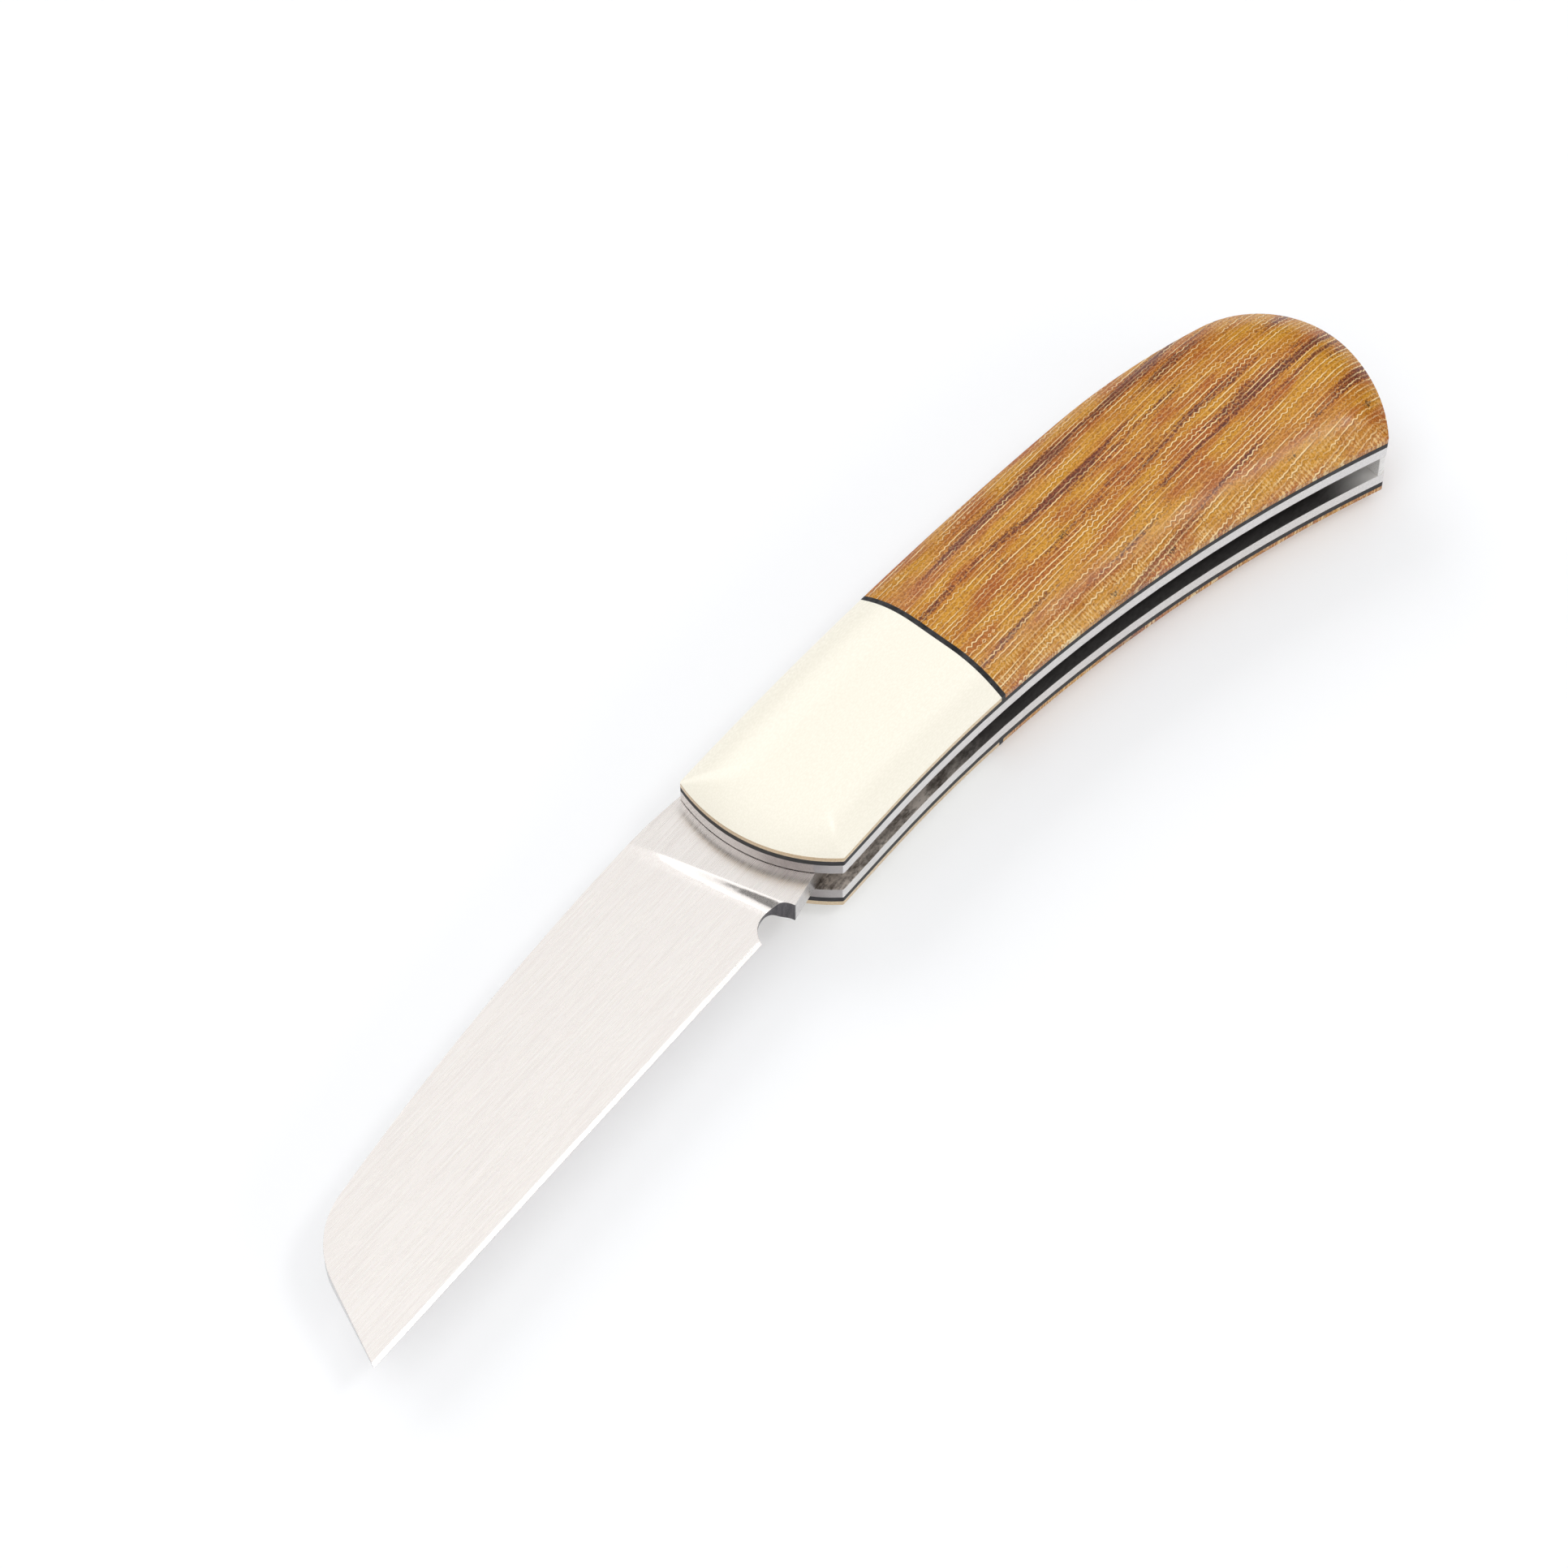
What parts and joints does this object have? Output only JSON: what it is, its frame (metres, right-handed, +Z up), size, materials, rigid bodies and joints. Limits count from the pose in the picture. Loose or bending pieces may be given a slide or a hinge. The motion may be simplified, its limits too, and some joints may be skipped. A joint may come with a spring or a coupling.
{
  "type": "folding pocket knife",
  "caption": "Slip-joint pocket knife with a sheepsfoot blade that folds into a curved handle of steel liners, ivory bolsters and cloth-laminate scales.",
  "frame": {"origin": "on the surface that the open knife lies on, under the middle of its box", "axes": "+X from the tip to the butt, +Y from the edge to the back, +Z up through the plates"},
  "size_m": [0.1452, 0.0308, 0.0145],
  "materials": {
    "blade_steel": "stainless steel, fine satin along the blade",
    "spring_steel": "satin stainless spring steel",
    "liner_steel": "satin stainless plate, edges polished",
    "pin_steel": "drawn stainless pin stock",
    "bronze": "plain phosphor bronze",
    "black_fibre": "black fibre sheet, buffed at the edges",
    "ivory_resin": "ivory paper laminate, polished",
    "cloth_laminate": "amber resin with woven cloth layers on edge, polished"
  },
  "bodies": {
    "handle": {"backspring": "spring_steel", "mark_bolster": "ivory_resin", "mark_bolster_dowels": "pin_steel", "mark_divider": "black_fibre", "mark_liner": "liner_steel", "mark_scale": "cloth_laminate", "mark_scale_dowels": "pin_steel", "mark_spacer": "black_fibre", "mark_washer": "bronze", "pile_bolster": "ivory_resin", "pile_bolster_dowels": "pin_steel", "pile_divider": "black_fibre", "pile_liner": "liner_steel", "pile_scale": "cloth_laminate", "pile_scale_dowels": "pin_steel", "pile_spacer": "black_fibre", "pile_washer": "bronze", "pivot_bushing": "bronze", "pivot_pin": "pin_steel", "spring_centre_pin": "pin_steel", "spring_end_pin": "pin_steel"},
    "blade": {"blade": "blade_steel"}
  },
  "joints": [
    {"name": "blade_pivot", "type": "hinge", "parent": "handle", "child": "blade", "pos_m": [-0.00325, 0.00564, 0.00727], "axis": [0, 0, 1], "range_deg": [0, 170], "deforming": ["backspring"]}
  ]
}
